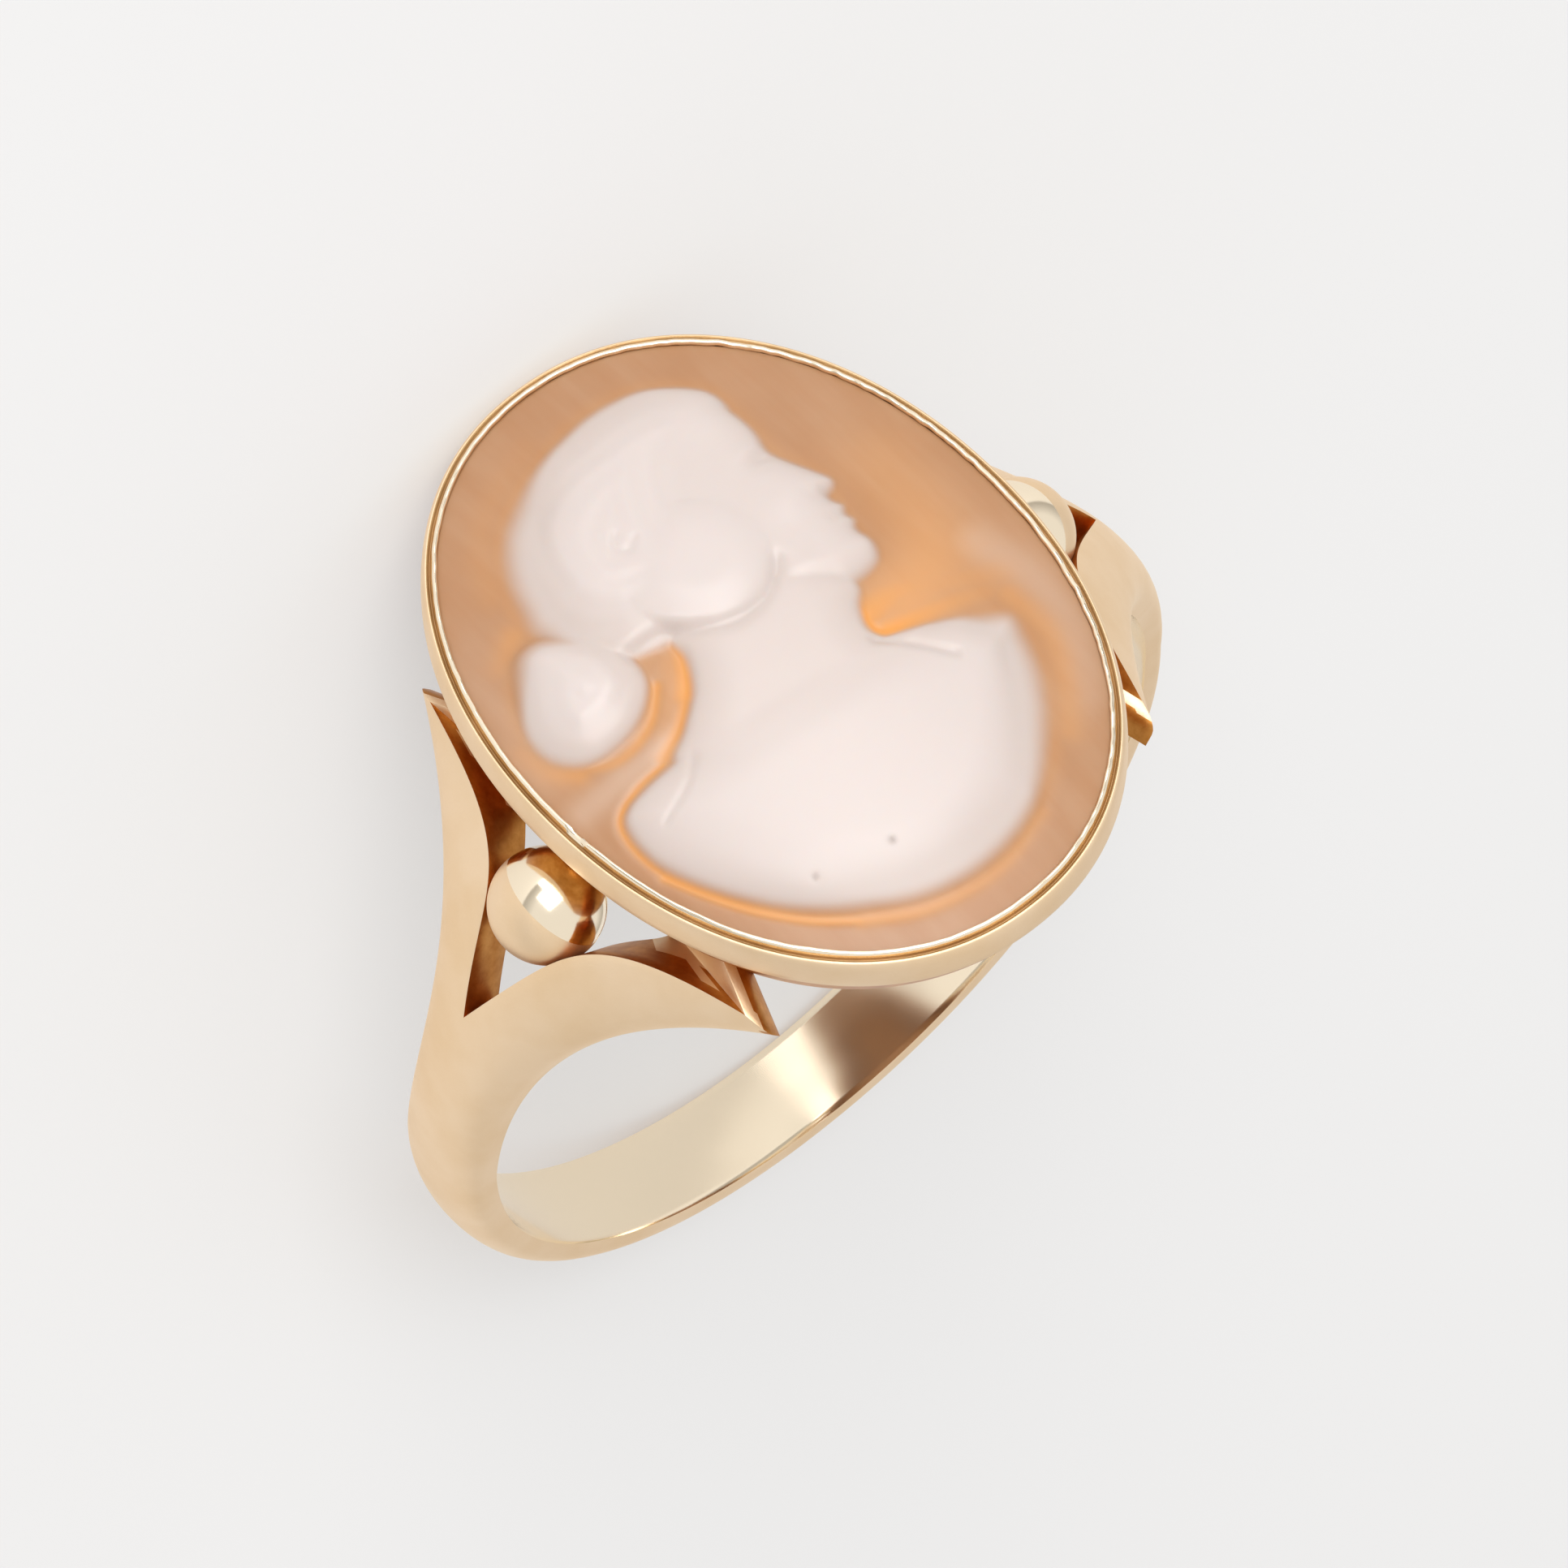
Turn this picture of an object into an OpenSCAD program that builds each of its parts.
// Cameo ring: a carved oval shell cameo in a tapered collet, on a round shank whose
// shoulders fork into two arms and hold a bead between them.
// The ring is drawn with Z along the finger, Y from the finger's centre to the cameo and
// X across the shoulders. The bust's head points to -Z and its foot to +Z. The ring then
// leans until the collet's end and the back of the shank both touch the ground, as it
// lies on its side by itself.

/* [Shank] */
// Inside diameter of the ring
finger_d = 17.4; // [15:0.1:21]
// Thickness of the shank at the back
back_t = 0.9; // [0.7:0.05:2]
// Thickness of the shank at the sides of the finger
side_t = 0.8; // [0.7:0.05:1.8]
// Width of the shank at the back
back_w = 2.05; // [1.4:0.05:3]
// Width of the shank at the sides of the finger
side_w = 2.2; // [1.6:0.05:4]
// Height of the shank's square edges, before its face rounds over
edge_t = 0.3; // [0.2:0.05:0.6]

/* [Forked shoulders] */
// Angle at which the shank splits, counted from its back
fork_a = 120.4; // [114:0.1:126]
// Angle of the arms' tips, counted from the back
tip_a = 146.5; // [142:0.5:150]
// Thickness of the arms at their tips
arm_t = 1.2; // [0.9:0.05:1.8]
// Distance between the outsides of two arms at their tips
tip_spread = 10.4; // [8.5:0.1:12]
// Width of an arm's face at its tip
tip_w = 0.5; // [0.3:0.05:1.5]
// How far the arms stand off towards the bust's foot
arm_off = 0.23; // [0:0.01:0.4]
// How far the fork's middle line stands off towards the bust's foot at the tips
fork_off = 0.18; // [0:0.01:0.4]

/* [Beads] */
// Diameter of the bead between two arms
bead_d = 2.38; // [1.8:0.02:2.8]
// Depth to which the bead is sunk into the arms
bead_sink = 0.1; // [0.04:0.02:0.3]
// Height of the bead's centre above the inside of the ring
bead_rise = 0.62; // [0.3:0.02:0.9]

/* [Collet] */
// Length of the collet at its widest line, along the finger
collet_l = 15.6; // [13:0.1:19]
// Width of the collet at its widest line
collet_w = 11.9; // [10:0.1:14]
// How far the collet stands off towards the bust's head
collet_off = 0.14; // [0:0.01:0.3]
// Roundness of the oval: 2 is an ellipse, more is fuller
oval_n = 2.1; // [2:0.05:2.4]
// Height of the rim above the finger
rim_h = 1.1; // [1.05:0.05:2.5]
// Depth of the widest line below the rim
flare_drop = 0.86; // [0.5:0.02:0.9]
// Distance from the rim's inner edge out to the widest line
flare_out = 0.34; // [0.3:0.01:0.6]
// Width of the burnished lip on top of the rim
lip_w = 0.12; // [0.06:0.01:0.16]
// Slope of the collet's outside below its widest line, from the upright
taper_a = 24; // [20:1:34]
// Wall thickness of the collet's tapered part
collet_t = 0.55; // [0.4:0.05:0.8]
// Depth of the cameo's seat below the rim
seat_drop = 0.8; // [0.7:0.02:0.85]

/* [Cameo] */
// Clearance between the cameo and the metal
gap = 0.04; // [0.02:0.01:0.08]
// Overlap of the rim's lip over the cameo's edge
lip_over = 0.17; // [0.12:0.01:0.2]
// Rise of the cameo's plain ground from its edge to its middle
dome_h = 0.8; // [0.4:0.05:1.2]
// Height of the carved relief above the ground
relief_h = 0.55; // [0.3:0.05:0.8]

/* [Hidden] */

gold = "#E6CDA3";
shell = "#E9D3C2";
finger_r = finger_d / 2;
rim_y = finger_r + rim_h;
wide_y = rim_y - flare_drop;
seat_y = rim_y - seat_drop;
inner_l = collet_l / 2 - flare_out;
inner_w = collet_w / 2 - flare_out;
// The arms run on past their tips, under the flare and into the collet's wall
root_a = tip_a + 7;
trim = edge_t;
shank_steps = 44;
face_steps = 14;
oval_steps = 96;

// Point at angle a of an oval with half sizes w and l
function rounded(c) = sign(c) * pow(abs(c), 2 / oval_n);
function oval(a, w, l) = [w * rounded(cos(a)), l * rounded(sin(a))];

// A solid skin over rows of points: open rows are closed with flat ends
module skin(rows, looped = false) {
    n = len(rows[0]);
    m = len(rows);
    last = looped ? m - 1 : m - 2;
    sides = [for (i = [0 : last], j = [0 : n - 1])
        let (a = i * n + j, b = i * n + (j + 1) % n,
             c = ((i + 1) % m) * n + (j + 1) % n, d = ((i + 1) % m) * n + j)
        each [[a, c, b], [a, d, c]]];
    ends = looped ? [] : [
        [for (j = [0 : n - 1]) j],
        [for (j = [n - 1 : -1 : 0]) (m - 1) * n + j]
    ];
    polyhedron(points = [for (row = rows, p = row) p], faces = concat(sides, ends));
}

// Shank
// How far an angle has come from the sides of the finger to the arms' tips
function on_arm(a) = max(0, min(1, (a - 90) / (tip_a - 90)));
// The arms' outer edges flare like a tulip, then turn in under the collet
flare_power = 3.4;
root_in = 0.5 * (tip_spread / 2);
function half_w(a) =
    (a < 90 ? (back_w + (side_w - back_w) * pow(sin(a), 1.5)) / 2
    : (side_w + (tip_spread - side_w) * pow(on_arm(a), flare_power)) / 2)
    - root_in * max(0, a - tip_a) / (root_a - tip_a);
function off_z(a) = arm_off * (1 - pow(1 - on_arm(a), 3));
function thick(a) = a < 90 ? side_t + (back_t - side_t) * cos(a)
    : side_t + (arm_t - side_t) * on_arm(a);
// Height of the shank's face above the finger at angle a and place z: square edges, rounded face
crown = 2.1;
function face_h(a, z) = let (k = min(1, abs(z - off_z(a)) / half_w(a)))
    edge_t + (thick(a) - edge_t) * pow(1 - pow(k, crown), 1 / crown);
// Section of the shank at angle a, as [radius, z]
function shank_section(a) = let (w = half_w(a), t = thick(a), z = off_z(a)) concat(
    [[finger_r - trim, z + w]],
    [for (i = [0 : face_steps]) let (k = 180 * i / face_steps) [
        finger_r + edge_t + (t - edge_t) * pow(abs(sin(k)), 2 / crown),
        z + w * sign(cos(k)) * pow(abs(cos(k)), 2 / crown)
    ]],
    [[finger_r - trim, z - w]]);
// Angles of the rows, from one arm's root round the back to the other, crowding at the tips
function row_angle(i) = let (q = i / shank_steps) root_a * (0.5 * q + 0.5 * sin(90 * q));
shank_rows = [for (i = [-shank_steps : shank_steps])
    let (a = sign(i) * row_angle(abs(i)))
    [for (p = shank_section(abs(a))) [p[0] * sin(a), -p[0] * cos(a), p[1]]]];

// The sawn fork: straight-sided at the crotch, sweeping out at the tips. Its walls stand
// square to the band at first and slope together towards the tips.
fork_steps = 22;
straight_share = 0.36;
sweep_power = 6.8;
web_share = 0.55;
function fork_share(s) = straight_share * s + (1 - straight_share) * pow(s, sweep_power);
// Row of the cutter at angle a: two corners below the bore and two above the shank's face
function fork_row(a) =
    let (s = max(0, min(1, (a - fork_a) / (tip_a - fork_a))),
         h = 0.01 + (half_w(max(a, tip_a)) - tip_w) * fork_share(s),
         web = 1 - web_share * pow(s, 4))
    [for (c = [[-1, -1], [-1, 1], [1, 1], [1, -1]])
        let (t = face_h(a, fork_off * s + c[1] * h), up = c[0] < 0 ? -trim : 2 * thick(a))
        [finger_r + up, fork_off * s + c[1] * h * (web + (1 - web) * up / t)]];
function fork_angle(i) = let (q = i / fork_steps)
    i > fork_steps ? root_a + 2 : fork_a + (tip_a - fork_a) * (1 - pow(1 - q, 1.6));
module fork_cut(side) {
    rows = [for (i = [0 : fork_steps + 1])
        let (a = fork_angle(i))
        [for (p = fork_row(a)) [p[0] * sin(a), -p[0] * cos(a), p[1]]]];
    mirror([side < 0 ? 1 : 0, 0, 0])
        skin(rows);
}

// Collet: a flared, tapered wall with a burnished lip and a seat for the cameo
under_y = sqrt(pow(finger_r, 2) - pow(collet_w / 2, 2)) - collet_t;
function taper_in(y) = max(0, wide_y - y) * tan(taper_a);
groove_d = lip_w * 0.7;
lip_drop = lip_w;
// Profile as [distance outside the rim's inner edge, y]
collet_profile = [
    [0, rim_y],
    [lip_w, rim_y],
    [lip_w + groove_d / 2, rim_y - groove_d],
    [(lip_w + flare_out) / 2, rim_y - groove_d / 2],
    [flare_out * 0.9, rim_y - flare_drop * 0.4],
    [flare_out, wide_y],
    [flare_out - taper_in(under_y), under_y],
    [flare_out - taper_in(under_y) - collet_t, under_y],
    [flare_out - collet_t, min(seat_y, wide_y)],
    [flare_out - collet_t, seat_y],
    [lip_over, seat_y],
    [lip_over, rim_y - 2 * lip_over],
    [0, rim_y - lip_drop]
];
function collet_ring(out, y) = [for (i = [0 : oval_steps - 1])
    let (q = oval(360 * i / oval_steps, inner_w + out, inner_l + out))
    [q[0], y, -q[1] - collet_off]];
module collet() {
    rings = [for (p = collet_profile) collet_ring(p[0], p[1])];
    skin([for (i = [0 : oval_steps - 1]) [for (ring = rings) ring[i]]], looped = true);
}
// The room inside the collet, up to the middle of its wall
module collet_room() {
    mid = flare_out - collet_t / 2;
    skin([collet_ring(mid - taper_in(under_y - trim), under_y - trim),
        collet_ring(mid, wide_y), collet_ring(mid, rim_y + trim)]);
}

// Beads: each lies between two arms, against the straight walls of the fork
mid_r = finger_r + bead_rise;
fork_len = mid_r * (tip_a - fork_a) * PI / 180;
fork_half_a = atan((tip_spread / 2 - tip_w) * straight_share / fork_len);
bead_far = (bead_d / 2 - bead_sink) / sin(fork_half_a);
bead_a = fork_a + bead_far / mid_r * 180 / PI;
module bead(side) {
    translate([side * mid_r * sin(bead_a), -mid_r * cos(bead_a), fork_off / 2])
        sphere(d = bead_d, $fn = 48);
}

module ring_mount() {
    color(gold)
    difference() {
        union() {
            difference() {
                skin(shank_rows);
                fork_cut(1);
                fork_cut(-1);
                collet_room();
            }
            collet();
            bead(1);
            bead(-1);
        }
        cylinder(d = finger_d, h = 2 * collet_l, center = true, $fn = 180);
    }
}

// Cameo: a bust in profile raised on a domed ground
// Each swelling of the relief: [middle across, middle up, half width, half height, turn, rise]
// as shares of the cameo's half width, half length and relief height. The bust faces +X.
SWELL = [
    [-0.06, 0.43, 0.60, 0.35, 0, 1.00],
    [0.26, 0.56, 0.28, 0.14, -35, 1.05],
    [-0.40, 0.28, 0.30, 0.21, 0, 0.95],
    [-0.70, 0.17, 0.24, 0.17, 0, 1.00],
    [0.20, 0.24, 0.36, 0.32, -6, 0.80],
    [0.55, 0.21, 0.10, 0.10, 25, 0.60],
    [0.36, -0.03, 0.16, 0.10, 0, 0.70],
    [0.06, 0.03, 0.28, 0.17, 10, 0.80],
    [-0.08, -0.12, 0.23, 0.28, 8, 0.75],
    [-0.07, -0.55, 0.67, 0.34, 0, 0.90],
    [-0.54, -0.31, 0.32, 0.17, 12, 0.80],
    [0.24, -0.46, 0.36, 0.22, 14, 0.85]
];
edge_w = inner_w + lip_over - gap;
edge_l = inner_l + lip_over - gap;
// A swelling rises steeply from its outline and rounds over to its middle
function swell(row, x, up) =
    let (dx = x - row[0] * edge_w, dy = up - row[1] * edge_l, c = cos(row[4]), s = sin(row[4]),
         p = (dx * c + dy * s) / (row[2] * edge_w), q = (dy * c - dx * s) / (row[3] * edge_l),
         d = sqrt(p * p + q * q))
    d < 1 ? row[5] * (1 - pow(d, 4)) : 0;
function relief(x, up) = relief_h * max([for (row = SWELL) swell(row, x, up)]);
function ground(k) = rim_y - lip_drop - gap + dome_h * (1 - k * k);
// The relief dies away before the rim, so the lip lies on plain ground all round
plain_edge = 0.06;
function inland(k) = max(0, min(1, (1 - k) / plain_edge - 0.2));
// The cameo's face as a square net drawn out to the oval
net = 62;
function net_point(i, j) =
    let (a = 2 * i / net - 1, b = 2 * j / net - 1,
         u = a * sqrt(1 - b * b / 2), v = b * sqrt(1 - a * a / 2), k = norm([u, v]),
         t = atan2(v, u), q = oval(t, k * inner_w, k * inner_l))
    [q[0], ground(k) + relief(q[0], q[1]) * inland(k), -q[1] - collet_off];
// The net's border, as angles and as places in the net, once round the oval
border = concat(
    [for (i = [0 : net - 1]) [i, 0]],
    [for (j = [0 : net - 1]) [net, j]],
    [for (i = [net : -1 : 1]) [i, net]],
    [for (j = [net : -1 : 1]) [0, j]]);
function border_point(place, y) =
    let (a = 2 * place[0] / net - 1, b = 2 * place[1] / net - 1,
         t = atan2(b * sqrt(1 - a * a / 2), a * sqrt(1 - b * b / 2)), q = oval(t, edge_w, edge_l))
    [q[0], y, -q[1] - collet_off];
face_points = [for (j = [0 : net], i = [0 : net]) net_point(i, j)];
module cameo() {
    n = len(border);
    first = len(face_points);
    mid = first + 2 * n;
    edge_y = rim_y - 2 * lip_over - gap;
    back_y = seat_y + gap;
    points = concat(face_points,
        [for (p = border) border_point(p, edge_y)],
        [for (p = border) border_point(p, back_y)],
        [[0, back_y, -collet_off]]);
    function at(k) = border[k % n][1] * (net + 1) + border[k % n][0];
    top = [for (j = [0 : net - 1], i = [0 : net - 1])
        let (a = j * (net + 1) + i, b = a + 1, c = b + net + 1, d = a + net + 1)
        each [[a, c, b], [a, d, c]]];
    sides = [for (k = [0 : n - 1])
        let (a = at(k), b = at(k + 1), c = first + k, d = first + (k + 1) % n)
        each [[a, b, d], [a, d, c], [c, d, d + n], [c, d + n, c + n], [c + n, d + n, mid]]];
    color(shell)
        polyhedron(points = points, faces = concat(top, sides));
}

// Resting place: the ground touches the collet's end and the edge of the shank's back
end_z = collet_l / 2 + collet_off;
back = [for (row = shank_rows, p = row) if (p[1] < -finger_r) p];
lean = min([for (p = back) atan2(p[2] + end_z, wide_y - p[1])]);
lift = end_z * cos(lean) - wide_y * sin(lean);
// Reach of a point towards the cameo's side once the ring leans
function reach(p) = p[1] * cos(lean) - p[2] * sin(lean);
head_y = max(concat(
    [for (p = collet_profile, q = collet_ring(p[0], p[1])) reach(q)],
    [for (p = face_points) reach(p)]));
back_y = min([for (p = back) reach(p)]);
module at_rest() {
    translate([0, -(head_y + back_y) / 2, lift])
        rotate([lean, 0, 0])
            children();
}

at_rest() ring_mount();
at_rest() cameo();
